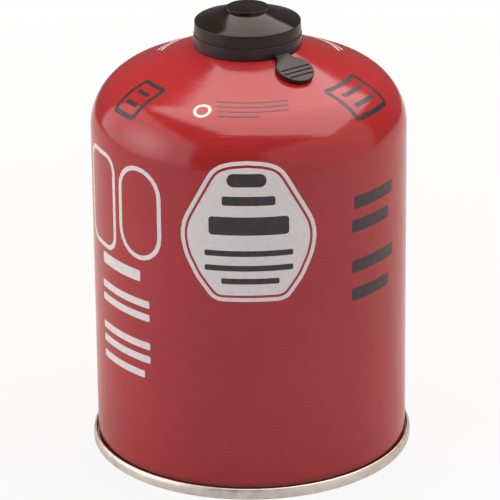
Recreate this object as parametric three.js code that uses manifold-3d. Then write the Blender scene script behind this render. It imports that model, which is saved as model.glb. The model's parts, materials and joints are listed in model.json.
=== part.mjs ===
// A camping gas canister: a deep-drawn steel can with a seamed base, a crimped screw valve and a push-on cap.
// Millimetres, +Z up. The origin is the middle of the foot ring that the canister stands on.

import * as THREE from "three";
import { mergeVertices } from "three/addons/utils/BufferGeometryUtils.js";
import Module from "manifold-3d";

const wasm = await Module();
wasm.setup();

const rad = THREE.MathUtils.degToRad;

// Can body, drawn from one sheet
const bodyRadius = 53.3;
const shoulderZ = 114.6; // top of the straight wall
const knuckleRadius = 20.1; // bend from the wall into the dome
const domeSlope = rad(22.5); // straight cone between the bend and the neck
const bodyHookBottomZ = 1.2; // lower edge of the wall, tucked into the seam

// Neck and its rolled bead, which carries the valve
const neckBoreRadius = 12.7; // the usual one-inch opening
const neckWall = 0.7;
const neckFillet = 1.0;
const beadRadius = 1.25;
const beadAboveDome = 1.97; // from the cone, carried in to the bead, up to the bead's centre
const crimpGrooveBelowBead = 1.4; // where the bore starts to open out under the bead
const crimpGrooveDepth = 1.2;
const valveBayBelowFloor = 0.8; // clear space under the valve cup
const housingBayBelow = 1.0; // clear space under the valve housing

// Base, a pressed end joined to the wall by a double seam
const endSheet = 0.5;
const seamGap = 0.3; // between the folded layers
const seamWall = 1.4; // the folded layers outside the can's wall
const seamHeight = 4.0;
const seamShoulder = 1.0; // rounding at the top of the seam
const footRounding = 0.7;
const footBridge = 0.9; // metal under the tucked wall
const bodyHookWall = 0.6;
const endCrownZ = 13.0; // highest point of the inward dome, underside
const endBendRadius = 3.0;
const endBendZ = 2.8;

// Valve cup, pressed from one sheet, with the screw boss in its middle
const cupSheet = 0.4;
const curlRadius = 2.2; // middle line of the curl over the bead
const curlLipAngle = rad(-40);
const crimpBulge = 1.3; // how far the wall is spread under the bead
const crimpBelowBead = 2.5;
const moatDepth = 4.4; // from the bead's centre down to the middle line of the moat's floor
const moatBend = 1.1;
const bossRadius = 5.556; // thread crests, 7/16 inch across
const bossHeight = 10.0; // over the moat's floor
const bossBend = 0.6;
const bossHoleRadius = 2.3;

// Seals
const gasketThickness = 0.45;
const gasketFromAngle = rad(20);
const sealThickness = 1.0;
const sealHoleRadius = 1.75;
const stackGap = 0.1; // between the pieces stacked inside the boss

// Valve housing, spring and stem
const housingGap = 0.3; // between the housing and the boss
const housingBore = 3.2;
const housingBelowCup = 6.5;
const housingFloor = 1.3;
const housingInlet = 0.9;
const collarRadius = 6.3; // rests under the floor of the cup
const collarHeight = 1.2;
const stemNoseRadius = 1.45;
const stemNoseHeight = 0.6;
const stemHeadRadius = 2.6;
const stemHeadHeight = 2.5;
const spigotRadius = 1.35;
const spigotLength = 2.3;
const springRadius = 2.15;
const springWire = 0.5;
const springTurns = 7;

// Cap, moulded in one piece with its pull tab
const capWall = 1.1;
const capSeatGap = 0.3; // between the cap's lower edge and the dome
const capClearance = 0.69; // between the band and the curl of the valve cup
const bandHeight = 4.11;
const skirtStep = 0.22; // from the band in to the skirt, just above the tear line
const skirtTaper = 0.13; // from there to the rim
const skirtHeight = 4.27;
const rimRounding = 0.15;
const tearGroove = 0.22;
const coneRise = 3.78;
const buttonRadius = 7.05;
const buttonRise = 0.95;
const buttonGroove = 0.3;
const lugCount = 6;
const lugClearance = 0.25; // between the snap lugs and the curl of the valve cup
const lugAngle = rad(26);
const lugBottomAboveEdge = 0.35;
const lugHeight = 1.7;

// Pull tab, a ribbed disc on a short strap that lies on the dome
const tabAzimuth = rad(-90 + 37.1);
const tabReach = 7.16; // from the band out to the middle of the disc
const tabRadius = 6.55;
const tabThickness = 1.2;
const tabSlope = rad(20);
const tabGap = 0.35; // over the dome at the root of the strap
const tabBevel = 0.2;
const strapHalfWidth = 2.8;
const strapFillet = 2.5;
const strapRootDepth = 0.59; // how far the strap is sunk into the band
const grooveFirst = -0.2; // place of the first finger groove, down the slope from the middle
const groovePitch = 1.9;
const grooveCount = 3;
const grooveWidth = 0.5;
const grooveDepth = 0.4;
const grooveEndMargin = 0.9;

// Facets round the axis
const canSides = 56;
const capSides = 48;
const cupSides = 28;
const valveSides = 24;

// Shapes worked out from the values above
const coneStartR = bodyRadius - knuckleRadius + knuckleRadius * Math.sin(domeSlope);
const coneStartZ = shoulderZ + knuckleRadius * Math.cos(domeSlope);
const beadCentreR = neckBoreRadius + beadRadius;
const beadZ = domeZ(beadCentreR) + beadAboveDome;
const neckOuterR = neckBoreRadius + neckWall;
const cupOuterR = beadCentreR + curlRadius + cupSheet / 2;
const moatFloorZ = beadZ - moatDepth;
const moatUndersideZ = moatFloorZ - cupSheet / 2;
const bossTopZ = moatFloorZ + bossHeight;
const bossInnerR = bossRadius - cupSheet;
const housingTopZ = bossTopZ - cupSheet - sealThickness - 2 * stackGap;
const housingBottomZ = moatUndersideZ - housingBelowCup;
const stemHeadTopZ = housingTopZ;
const housingR = bossInnerR - housingGap;
const seamOuterRadius = bodyRadius + seamGap + seamWall;
const chuckR = bodyRadius - bodyHookWall - seamGap - endSheet;
const hookInnerR = chuckR + endSheet + seamGap;
const bandRadius = cupOuterR + capClearance + capWall;
const bandTopZ = domeZ(bandRadius) + capSeatGap + bandHeight;
const skirtRadius = bandRadius - skirtStep;
const rimRadius = skirtRadius - skirtTaper;
const rimZ = bandTopZ + skirtHeight;
const capConeTopZ = rimZ + coneRise;
const buttonTopZ = capConeTopZ + buttonRise;
const tabDistance = bandRadius + tabReach;
const strapRootRadius = bandRadius - strapRootDepth;

function domeZ(r) {
  return coneStartZ + (coneStartR - r) * Math.tan(domeSlope);
}

function point(r, z) {
  return new THREE.Vector2(r, z);
}

// Points on a circular arc, both ends included.
function arc(r, z, radius, from, to, steps) {
  const points = [];
  for (let i = 0; i <= steps; i++) {
    const a = from + ((to - from) * i) / steps;
    points.push(point(r + radius * Math.cos(a), z + radius * Math.sin(a)));
  }
  return points;
}

// A solid of revolution about Z from an outline in radius and height.
function revolve(outline, sides) {
  const points = THREE.ShapeUtils.area(outline) < 0 ? [...outline].reverse() : [...outline];
  const first = points[0];
  const last = points[points.length - 1];
  if (first.x > 0 || last.x > 0) points.push(first.clone());
  return new THREE.LatheGeometry(points, sides).rotateX(Math.PI / 2);
}

// The outline of a pressed sheet: its middle line moved half a thickness to each side.
function sheetOutline(middle, thickness) {
  const one = [];
  const other = [];
  middle.forEach((p, i) => {
    const before = middle[Math.max(i - 1, 0)];
    const after = middle[Math.min(i + 1, middle.length - 1)];
    const arriving = p === before ? after.clone().sub(p) : p.clone().sub(before);
    const leaving = p === after ? arriving.clone() : after.clone().sub(p);
    const across = point(-arriving.y, arriving.x).normalize();
    const acrossNext = point(-leaving.y, leaving.x).normalize();
    const mitre = across.clone().add(acrossNext).normalize();
    mitre.multiplyScalar(thickness / 2 / mitre.dot(across));
    one.push(p.clone().add(mitre));
    other.push(p.clone().sub(mitre));
  });
  return [...one, ...other.reverse()];
}

// Rounds one corner of an outline with a few points.
function roundedCorner(before, corner, after, radius, steps) {
  const toBefore = before.clone().sub(corner).normalize();
  const toAfter = after.clone().sub(corner).normalize();
  const half = Math.acos(toBefore.dot(toAfter)) / 2;
  const reach = radius / Math.tan(half);
  const start = corner.clone().addScaledVector(toBefore, reach);
  const end = corner.clone().addScaledVector(toAfter, reach);
  const bisector = toBefore.clone().add(toAfter).normalize();
  const centre = corner.clone().addScaledVector(bisector, radius / Math.sin(half));
  const from = start.clone().sub(centre).angle();
  let turn = end.clone().sub(centre).angle() - from;
  if (turn > Math.PI) turn -= 2 * Math.PI;
  if (turn < -Math.PI) turn += 2 * Math.PI;
  return arc(centre.x, centre.y, radius, from, from + turn, steps);
}

function solidOf(geometry) {
  const bare = geometry.clone();
  bare.deleteAttribute("normal");
  bare.deleteAttribute("uv");
  const merged = mergeVertices(bare, 1e-4);
  const vertProperties = merged.attributes.position.array;
  const triVerts = new Uint32Array(merged.index.array);
  return new wasm.Manifold(new wasm.Mesh({ numProp: 3, vertProperties, triVerts }));
}

function geometryOf(solid) {
  const mesh = solid.getMesh();
  const geometry = new THREE.BufferGeometry();
  geometry.setAttribute("position", new THREE.BufferAttribute(mesh.vertProperties, 3));
  geometry.setIndex(new THREE.BufferAttribute(mesh.triVerts, 1));
  return geometry;
}

// The inward dome of the base and the bend into its wall, raised by an offset from the underside.
function endCrown(offset) {
  const bendR = chuckR - endBendRadius;
  const rise = endCrownZ - endBendZ;
  const crownRadius =
    (bendR ** 2 + rise ** 2 - endBendRadius ** 2) / (2 * (rise - endBendRadius));
  const crownAngle = Math.PI / 2 - Math.asin(bendR / (crownRadius - endBendRadius));
  const crownCentreZ = endCrownZ - crownRadius;
  const crown = arc(0, crownCentreZ, crownRadius + offset, Math.PI / 2, crownAngle, 3);
  crown[0].x = 0;
  const bend = arc(bendR, endBendZ, endBendRadius + offset, crownAngle, 0, 3);
  return [...crown, ...bend.slice(1)];
}

function canBody() {
  const filletR = neckOuterR + neckFillet;
  const filletZ = domeZ(filletR) + neckFillet / Math.cos(domeSlope);
  const beadFrom = -Math.acos((neckOuterR - beadCentreR) / beadRadius);
  const grooveTopZ = beadZ - crimpGrooveBelowBead;
  const bayR = neckBoreRadius + crimpGrooveDepth;
  const bayFloorZ = moatUndersideZ - collarHeight - stackGap - valveBayBelowFloor;
  const housingBayR = collarRadius + housingGap;
  return revolve(
    [
      ...endCrown(endSheet + seamGap),
      point(hookInnerR, bodyHookBottomZ),
      point(bodyRadius, bodyHookBottomZ),
      ...arc(bodyRadius - knuckleRadius, shoulderZ, knuckleRadius, 0, Math.PI / 2 - domeSlope, 7),
      ...arc(filletR, filletZ, neckFillet, -Math.PI / 2 - domeSlope, -Math.PI, 2),
      ...arc(beadCentreR, beadZ, beadRadius, beadFrom, Math.PI, 6),
      point(neckBoreRadius, grooveTopZ),
      point(bayR, grooveTopZ - crimpGrooveDepth),
      point(bayR, bayFloorZ),
      point(housingBayR, bayFloorZ),
      point(housingBayR, housingBottomZ - housingBayBelow),
      point(0, housingBottomZ - housingBayBelow),
    ],
    canSides,
  );
}

function bottomEnd() {
  const grooveR = bodyRadius + seamGap;
  return revolve(
    [
      ...endCrown(0),
      point(chuckR, footRounding),
      ...arc(chuckR + footRounding, footRounding, footRounding, Math.PI, 1.5 * Math.PI, 2).slice(1),
      ...arc(seamOuterRadius - footRounding, footRounding, footRounding, -Math.PI / 2, 0, 2),
      ...arc(seamOuterRadius - seamShoulder, seamHeight - seamShoulder, seamShoulder, 0, Math.PI / 2, 3),
      point(grooveR, seamHeight),
      point(grooveR, footBridge),
      point(hookInnerR - seamGap, footBridge),
      ...endCrown(endSheet).reverse(),
    ],
    canSides,
  );
}

function valveCup() {
  const wallR = beadCentreR - curlRadius;
  const bossR = bossRadius - cupSheet / 2;
  const crimpZ = beadZ - crimpBelowBead;
  const bulge = point(wallR + crimpBulge, crimpZ);
  const wallFoot = point(wallR + cupSheet, moatFloorZ);
  const bossFoot = point(bossR, moatFloorZ);
  const bossShoulder = point(bossR, bossTopZ - cupSheet / 2);
  const holeEdge = point(bossHoleRadius, bossTopZ - cupSheet / 2);
  const aboveBulge = point(wallR, crimpZ + crimpBulge);
  return revolve(
    sheetOutline(
      [
        ...arc(beadCentreR, beadZ, curlRadius, curlLipAngle, Math.PI, 8),
        aboveBulge,
        ...roundedCorner(aboveBulge, bulge, wallFoot, crimpBulge / 3, 2),
        ...roundedCorner(bulge, wallFoot, bossFoot, moatBend / 2, 2),
        ...roundedCorner(wallFoot, bossFoot, bossShoulder, moatBend, 3),
        ...roundedCorner(bossFoot, bossShoulder, holeEdge, bossBend, 3),
        holeEdge,
      ],
      cupSheet,
    ),
    cupSides,
  );
}

function cupGasket() {
  const middle = (beadRadius + curlRadius - cupSheet / 2) / 2;
  const upTo = Math.PI - gasketFromAngle;
  return revolve(
    [
      ...arc(beadCentreR, beadZ, middle + gasketThickness / 2, gasketFromAngle, upTo, 4),
      ...arc(beadCentreR, beadZ, middle - gasketThickness / 2, upTo, gasketFromAngle, 4),
    ],
    cupSides,
  );
}

function ring(innerR, outerR, bottomZ, topZ) {
  return revolve(
    [point(innerR, bottomZ), point(outerR, bottomZ), point(outerR, topZ), point(innerR, topZ)],
    valveSides,
  );
}

function valveSeal() {
  const bottomZ = housingTopZ + stackGap;
  return ring(sealHoleRadius, housingR, bottomZ, bottomZ + sealThickness);
}

function valveHousing() {
  const collarTopZ = moatUndersideZ - stackGap;
  return revolve(
    [
      point(housingInlet, housingBottomZ),
      point(housingR - 1, housingBottomZ),
      point(housingR, housingBottomZ + 1),
      point(housingR, collarTopZ - collarHeight),
      point(collarRadius, collarTopZ - collarHeight),
      point(collarRadius, collarTopZ),
      point(housingR, collarTopZ),
      point(housingR, housingTopZ),
      point(housingBore, housingTopZ),
      point(housingBore, housingBottomZ + housingFloor),
      point(housingInlet, housingBottomZ + housingFloor),
    ],
    valveSides,
  );
}

function valveStem() {
  const headBottomZ = stemHeadTopZ - stemHeadHeight;
  return revolve(
    [
      point(0, headBottomZ - spigotLength),
      point(spigotRadius - 0.4, headBottomZ - spigotLength),
      point(spigotRadius, headBottomZ - spigotLength + 0.4),
      point(spigotRadius, headBottomZ),
      point(stemHeadRadius, headBottomZ),
      point(stemHeadRadius, stemHeadTopZ),
      point(stemNoseRadius, stemHeadTopZ),
      point(stemNoseRadius, stemHeadTopZ + stemNoseHeight),
      point(0, stemHeadTopZ + stemNoseHeight),
    ],
    valveSides,
  );
}

// The spring's middle line: a helix whose first and last turns close up.
class SpringLine extends THREE.Curve {
  constructor(fromZ, toZ) {
    super();
    this.fromZ = fromZ;
    this.toZ = toZ;
  }

  getPoint(t, target = new THREE.Vector3()) {
    const angle = t * springTurns * 2 * Math.PI;
    const open = THREE.MathUtils.smoothstep(t, 0.02, 0.98);
    const z = THREE.MathUtils.lerp(this.fromZ, this.toZ, 0.15 * t + 0.85 * open);
    return target.set(springRadius * Math.cos(angle), springRadius * Math.sin(angle), z);
  }
}

function valveSpring() {
  const fromZ = housingBottomZ + housingFloor + springWire / 2 + stackGap;
  const toZ = stemHeadTopZ - stemHeadHeight - springWire / 2 - stackGap;
  const section = new THREE.Shape();
  section.absarc(0, 0, springWire / 2, 0, 2 * Math.PI);
  return new THREE.ExtrudeGeometry(section, {
    curveSegments: 3,
    steps: springTurns * 10,
    extrudePath: new SpringLine(fromZ, toZ),
  });
}

function capShell() {
  const edgeOuter = point(bandRadius, domeZ(bandRadius) + capSeatGap);
  const innerR = bandRadius - capWall;
  const edgeInner = point(innerR, domeZ(innerR) + capSeatGap);
  const upperInnerR = rimRadius - capWall;
  const coneSlope = Math.atan2(capConeTopZ - rimZ, rimRadius - buttonRadius);
  const underCone = (r) => rimZ + (rimRadius - r) * Math.tan(coneSlope) - capWall / Math.cos(coneSlope);
  const buttonInnerR = buttonRadius - capWall;
  const rim = point(rimRadius, rimZ);
  const buttonFoot = point(buttonRadius, capConeTopZ);
  const skirtFoot = point(skirtRadius, bandTopZ + tearGroove);
  return revolve(
    [
      edgeInner,
      edgeOuter,
      point(bandRadius, bandTopZ - rimRounding),
      point(bandRadius - rimRounding, bandTopZ),
      point(skirtRadius - tearGroove, bandTopZ),
      skirtFoot,
      ...roundedCorner(skirtFoot, rim, buttonFoot, rimRounding, 2),
      point(buttonRadius + buttonGroove, capConeTopZ - buttonGroove * Math.tan(coneSlope)),
      point(buttonRadius, capConeTopZ - buttonGroove),
      point(buttonRadius, buttonTopZ - rimRounding),
      point(buttonRadius - rimRounding, buttonTopZ),
      point(0, buttonTopZ),
      point(0, underCone(buttonInnerR)),
      point(buttonInnerR, underCone(buttonInnerR)),
      point(upperInnerR - rimRounding, underCone(upperInnerR - rimRounding)),
      point(upperInnerR, underCone(upperInnerR) - rimRounding),
      point(upperInnerR, bandTopZ + capWall / 2),
      point(innerR, bandTopZ - capWall / 2),
    ],
    capSides,
  );
}

// The snap lugs inside the band: short lengths of one bead.
function capLugs() {
  const wallR = bandRadius - capWall;
  const bottomZ = domeZ(wallR) + capSeatGap + lugBottomAboveEdge;
  const tipR = cupOuterR + lugClearance;
  const bead = solidOf(
    revolve(
      [
        point(wallR + capWall / 2, bottomZ),
        point(wallR, bottomZ),
        point(tipR, bottomZ + lugHeight * 0.45),
        point(tipR, bottomZ + lugHeight * 0.6),
        point(wallR, bottomZ + lugHeight),
        point(wallR + capWall / 2, bottomZ + lugHeight),
      ],
      capSides,
    ),
  );
  const lugs = [];
  for (let i = 0; i < lugCount; i++) {
    const middle = (i * 2 * Math.PI) / lugCount;
    const sector = new THREE.Shape();
    sector.moveTo(0, 0);
    for (const a of [middle - lugAngle / 2, middle + lugAngle / 2]) {
      sector.lineTo(2 * bandRadius * Math.cos(a), 2 * bandRadius * Math.sin(a));
    }
    sector.closePath();
    const wedge = new THREE.ExtrudeGeometry(sector, { depth: 2 * lugHeight, bevelEnabled: false });
    lugs.push(bead.intersect(solidOf(wedge.translate(0, 0, bottomZ - lugHeight / 2))));
  }
  return lugs;
}

// The tab lies in its own plane: x runs down the slope, y across it, and z off the dome.
function pullTab() {
  const rootX = (strapRootRadius - tabDistance) / Math.cos(tabSlope);
  const reach = tabRadius + strapFillet;
  const side = strapHalfWidth + strapFillet;
  const filletX = -Math.sqrt(reach ** 2 - side ** 2);
  const meet = Math.atan2(side, filletX);
  const outline = new THREE.Shape();
  outline.moveTo(rootX, -strapHalfWidth);
  outline.lineTo(filletX, -strapHalfWidth);
  outline.absarc(filletX, -side, strapFillet, Math.PI / 2, Math.PI - meet, true);
  outline.absarc(0, 0, tabRadius, -meet, meet, false);
  outline.absarc(filletX, side, strapFillet, meet - Math.PI, -Math.PI / 2, true);
  outline.lineTo(rootX, strapHalfWidth);
  outline.closePath();
  const blank = new THREE.ExtrudeGeometry(outline, {
    depth: tabThickness - 2 * tabBevel,
    curveSegments: 14,
    bevelThickness: tabBevel,
    bevelSize: tabBevel,
    bevelOffset: -tabBevel,
    bevelSegments: 1,
  }).translate(0, 0, tabBevel);
  let tab = solidOf(blank);
  for (let i = 0; i < grooveCount; i++) {
    const x = grooveFirst + i * groovePitch;
    const length = 2 * (Math.sqrt(tabRadius ** 2 - x ** 2) - grooveEndMargin);
    const groove = new THREE.BoxGeometry(grooveWidth, length, 2 * grooveDepth);
    tab = tab.subtract(solidOf(groove.translate(x, 0, tabThickness)));
  }
  const rootZ = domeZ(strapRootRadius) + tabGap;
  const place = new THREE.Matrix4().makeRotationZ(tabAzimuth);
  place.multiply(
    new THREE.Matrix4().makeTranslation(tabDistance, 0, rootZ + rootX * Math.sin(tabSlope)),
  );
  place.multiply(new THREE.Matrix4().makeRotationY(tabSlope));
  return solidOf(geometryOf(tab).applyMatrix4(place));
}

function cap() {
  let solid = solidOf(capShell()).add(pullTab());
  for (const lug of capLugs()) solid = solid.add(lug);
  return geometryOf(solid);
}

const finishes = {
  redPaint: { color: 0xa3262b, roughness: 0.32, metalness: 0.1 },
  tinplate: { color: 0xc9c2b8, roughness: 0.3, metalness: 0.95 },
  blackMoulding: { color: 0x1c1919, roughness: 0.35, metalness: 0 },
  rubber: { color: 0x181818, roughness: 0.8, metalness: 0 },
  paleMoulding: { color: 0xd8d6cd, roughness: 0.5, metalness: 0 },
  springSteel: { color: 0x9a9a98, roughness: 0.35, metalness: 0.9 },
};

const canister = new THREE.Group();

function addPiece(name, geometry, finish) {
  const mesh = new THREE.Mesh(geometry, new THREE.MeshStandardMaterial(finishes[finish]));
  mesh.name = name;
  canister.add(mesh);
}

addPiece("can_body", canBody(), "redPaint");
addPiece("bottom_end", bottomEnd(), "tinplate");
addPiece("valve_cup", valveCup(), "tinplate");
addPiece("cup_gasket", cupGasket(), "rubber");
addPiece("valve_housing", valveHousing(), "paleMoulding");
addPiece("valve_seal", valveSeal(), "rubber");
addPiece("valve_spring", valveSpring(), "springSteel");
addPiece("valve_stem", valveStem(), "paleMoulding");
addPiece("cap", cap(), "blackMoulding");

export default canister;
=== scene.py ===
import json
import math

import bpy
from mathutils import Matrix, Vector

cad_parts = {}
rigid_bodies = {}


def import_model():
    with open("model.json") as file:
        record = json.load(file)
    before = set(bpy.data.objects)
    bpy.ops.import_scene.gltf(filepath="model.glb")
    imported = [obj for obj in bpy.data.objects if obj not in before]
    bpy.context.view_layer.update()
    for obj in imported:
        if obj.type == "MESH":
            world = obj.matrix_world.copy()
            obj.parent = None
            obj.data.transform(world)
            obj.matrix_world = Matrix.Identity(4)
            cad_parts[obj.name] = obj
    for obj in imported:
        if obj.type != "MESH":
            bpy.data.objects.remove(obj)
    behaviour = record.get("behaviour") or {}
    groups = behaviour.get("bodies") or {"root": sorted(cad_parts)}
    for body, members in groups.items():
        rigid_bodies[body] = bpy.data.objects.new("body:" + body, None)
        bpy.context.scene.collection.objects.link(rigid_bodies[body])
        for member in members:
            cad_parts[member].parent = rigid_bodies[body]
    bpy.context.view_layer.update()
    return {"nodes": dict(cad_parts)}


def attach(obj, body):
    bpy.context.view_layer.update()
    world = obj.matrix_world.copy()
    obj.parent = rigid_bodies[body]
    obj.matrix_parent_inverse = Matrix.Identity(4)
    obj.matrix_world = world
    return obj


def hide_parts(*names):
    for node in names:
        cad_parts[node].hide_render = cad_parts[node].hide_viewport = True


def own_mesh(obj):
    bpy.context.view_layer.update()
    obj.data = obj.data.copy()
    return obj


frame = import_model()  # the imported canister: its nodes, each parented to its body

mm = 0.001
scene = bpy.context.scene
scene.view_settings.view_transform = "Standard"

# camera, light and floor
photoCamera = {
    "sensor": 36,
    "lens": 269,
    "place": (0, -1.1809, 0.5566),
    "aimHeight": 0.0681,
    "roll": -0.605,  # degrees, the photograph leans a little
    "clip": (0.05, 30),
}
lights = {
    "overhead": {
        "place": (0.26, 0.36, 1.15),
        "aim": (0.26, 0.36, 0),
        "size": (2.12, 1.84),
        "power": 35.8,
        "colour": (1.0, 0.975, 0.955),
        "leftEdge": (0.90, 0.43, 0.493),  # where its edges run: across x, across y, offset
        "backEdge": (0.99, 0.136, 0.205),
        "wingEdge": (0, -1, 0.66),
        "edgeFade": 0.03,
    },
    "leftPanel": {
        "place": (-1.20, -0.135, 0.69),
        "aim": (0, -0.135, 0.69),
        "size": (2.37, 1.38),
        "power": 13.8,
        "colour": (0.985, 0.97, 1.02),
        "bulb": (-1.20, -0.21, 0.51),
        "bulbReach": 0.6,
        "bulbShare": (2.7, 0.95),  # brighter in front of its bulb
    },
    "rightPanel": {
        "place": (1.24, -0.81, 0.60),
        "aim": (0, 0, 0.30),
        "size": (2.9, 1.40),
        "power": 7.8,
        "colour": (1.0, 0.98, 0.965),
    },
}
studio = {
    "air": 0.12,  # dim room round the table
    "floorSize": (2.0, 1.56),
    "floorMiddle": -0.22,  # it ends a little way behind the can
    "floorDrop": 0.00005,
    "floorFront": (0.525, 0.54, 0.615),  # paper, a little cooler in front
    "floorBack": (0.57, 0.475, 0.435),
    "tintChange": (-0.08, 0.01),  # from front to back
    "floorRoughness": 0.7,
    "grain": 400,
    "grainDepth": 0.0002,
    "grainStrength": 0.05,
    "floorWhite": 0.88,  # share of plain white that the camera sees in the floor near the can
    "whiteReach": (0.12, 0.5),  # from there on it turns all white
    "floorShine": 0.12,  # the same share in reflections
}


def addCamera():
    bpy.ops.object.camera_add(location=photoCamera["place"])
    camera = bpy.context.object
    camera.name = "photoCamera"
    camera.data.sensor_width = photoCamera["sensor"]
    camera.data.lens = photoCamera["lens"]
    camera.data.clip_start, camera.data.clip_end = photoCamera["clip"]
    look = Vector((0, 0, photoCamera["aimHeight"])) - Vector(photoCamera["place"])
    roll = Matrix.Rotation(math.radians(photoCamera["roll"]), 3, "Z")
    camera.rotation_euler = (look.to_track_quat("-Z", "Y").to_matrix() @ roll).to_euler()
    scene.camera = camera


def addSoftLight(name, light):
    bpy.ops.object.light_add(type="AREA", location=light["place"])
    lamp = bpy.context.object
    lamp.name = name
    lamp.data.shape = "RECTANGLE"
    lamp.data.size, lamp.data.size_y = light["size"]
    lamp.data.energy = light["power"]
    lamp.data.color = light["colour"]
    lamp.rotation_euler = (Vector(light["aim"]) - Vector(light["place"])).to_track_quat("-Z", "Y").to_euler()
    lamp.visible_camera = False
    if "leftEdge" in light or "bulb" in light:
        lamp.data.use_nodes = True
        nodes, links = lamp.data.node_tree.nodes, lamp.data.node_tree.links
        shape = lightEdges(nodes, links, light) if "leftEdge" in light else lightBulb(nodes, links, light)
        links.new(shape, nodes["Emission"].inputs["Strength"])


def lightEdges(nodes, links, light):  # 1 inside the slanting edges of the overhead light, 0 outside
    spot = nodes.new("ShaderNodeNewGeometry")
    inside = {}
    for edge in ("wingEdge", "backEdge", "leftEdge"):
        acrossX, acrossY, offset = light[edge]
        across = nodes.new("ShaderNodeVectorMath")
        across.operation = "DOT_PRODUCT"
        across.inputs[1].default_value = (acrossX, acrossY, 0)
        links.new(spot.outputs["Position"], across.inputs[0])
        inside[edge] = mathOf(nodes, links, "ADD", across.outputs["Value"], offset)
    back = mathOf(nodes, links, "MAXIMUM", inside["wingEdge"], inside["backEdge"])
    both = mathOf(nodes, links, "MINIMUM", back, inside["leftEdge"])
    return rangeOf(nodes, links, both, (0, light["edgeFade"]), (0, 1))


def lightBulb(nodes, links, light):
    spot = nodes.new("ShaderNodeNewGeometry")
    away = nodes.new("ShaderNodeVectorMath")
    away.operation = "DISTANCE"
    away.inputs[1].default_value = light["bulb"]
    links.new(spot.outputs["Position"], away.inputs[0])
    return rangeOf(nodes, links, away.outputs["Value"], (0, light["bulbReach"]), light["bulbShare"])


def seenRays(nodes, links, names):  # 1 for the kinds of ray named, 0 for the others
    rays = nodes.new("ShaderNodeLightPath")
    total = rays.outputs[names[0]]
    for name in names[1:]:
        total = mathOf(nodes, links, "MAXIMUM", total, rays.outputs[name])
    return total


def mixTo(nodes, links, share, one, other, output):
    either = nodes.new("ShaderNodeMixShader")
    links.new(share, either.inputs[0])
    links.new(one, either.inputs[1])
    links.new(other, either.inputs[2])
    links.new(either.outputs[0], output.inputs["Surface"])


def buildRoom():
    world = bpy.data.worlds.new("studio")
    world.use_nodes = True
    scene.world = world
    nodes, links = world.node_tree.nodes, world.node_tree.links
    air = nodes["Background"]
    air.inputs["Color"].default_value = (1, 1, 1, 1)
    air.inputs["Strength"].default_value = studio["air"]
    backdrop = nodes.new("ShaderNodeBackground")
    backdrop.inputs["Color"].default_value = (1, 1, 1, 1)
    seen = seenRays(nodes, links, ["Is Camera Ray", "Is Transmission Ray"])
    mixTo(nodes, links, seen, air.outputs[0], backdrop.outputs[0], nodes["World Output"])


def buildFloor():
    deselectAll()
    bpy.ops.mesh.primitive_plane_add(size=1, location=(0, 0, -studio["floorDrop"]))
    floor = bpy.context.object
    floor.name = "floor"
    bpy.ops.object.mode_set(mode="EDIT")
    bpy.ops.transform.resize(value=(*studio["floorSize"], 1))
    bpy.ops.transform.translate(value=(0, studio["floorMiddle"], 0))
    bpy.ops.object.mode_set(mode="OBJECT")
    paper, nodes, links, shader = newFinish("floorPaper", studio["floorFront"], studio["floorRoughness"])
    depth = rangeOf(nodes, links, splitPlace(nodes, links)["Y"], studio["tintChange"], (0, 1))
    tint = rampOf(nodes, links, depth, [(0.0, studio["floorFront"]), (1.0, studio["floorBack"])])
    links.new(tint, shader.inputs["Base Color"])
    grain = nodes.new("ShaderNodeTexNoise")
    grain.inputs["Scale"].default_value = studio["grain"]
    links.new(placeOf(nodes), grain.inputs["Vector"])
    addBump(nodes, links, shader, [(grain.outputs["Fac"], studio["grainDepth"] / mm, studio["grainStrength"])])

    white = nodes.new("ShaderNodeEmission")
    white.inputs["Color"].default_value = (1, 1, 1, 1)
    away = nodes.new("ShaderNodeVectorMath")
    away.operation = "LENGTH"
    links.new(placeOf(nodes), away.inputs[0])
    shine = studio["floorShine"]
    wide = rangeOf(nodes, links, away.outputs["Value"], studio["whiteReach"], (studio["floorWhite"], 1))
    seen = mathOf(nodes, links, "MULTIPLY", seenRays(nodes, links, ["Is Camera Ray"]), wide)
    mirrored = mathOf(nodes, links, "MULTIPLY", seenRays(nodes, links, ["Is Glossy Ray", "Is Transmission Ray"]), shine)
    share = mathOf(nodes, links, "ADD", seen, mirrored)
    mixTo(nodes, links, share, shader.outputs[0], white.outputs[0], nodes["Material Output"])
    floor.data.materials.append(paper)


# modelling helpers
def deselectAll():
    if bpy.context.object and bpy.context.object.mode != "OBJECT":
        bpy.ops.object.mode_set(mode="OBJECT")
    bpy.ops.object.select_all(action="DESELECT")


def pickPiece(piece):  # selected alone, and active
    deselectAll()
    piece.select_set(True)
    bpy.context.view_layer.objects.active = piece


def startEmpty(name):  # a new mesh, open in edit mode, with nothing in it
    deselectAll()
    bpy.ops.mesh.primitive_plane_add(size=0.002)
    piece = bpy.context.object
    piece.name = name
    bpy.ops.object.mode_set(mode="EDIT")
    bpy.ops.mesh.delete(type="VERT")
    return piece


def walkOutline(points):  # in edit mode: one vertex, extruded from point to point
    bpy.ops.mesh.select_all(action="DESELECT")
    bpy.ops.mesh.primitive_plane_add(size=0.002)
    bpy.ops.mesh.merge(type="CENTER")
    bpy.ops.transform.translate(value=Vector(points[0]))
    for here, there in zip(points, points[1:]):
        bpy.ops.mesh.extrude_region_move(TRANSFORM_OT_translate={"value": Vector(there) - Vector(here)})


def finishMesh(sharpAbove, fillHoles=False):  # in edit mode: close it, turn faces outwards, shade it smooth
    bpy.ops.mesh.select_all(action="SELECT")
    if fillHoles:
        bpy.ops.mesh.fill_holes(sides=0)
        bpy.ops.mesh.select_all(action="SELECT")
    bpy.ops.mesh.normals_make_consistent(inside=False)
    bpy.ops.object.mode_set(mode="OBJECT")
    bpy.ops.object.shade_smooth_by_angle(angle=math.radians(sharpAbove))


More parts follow.
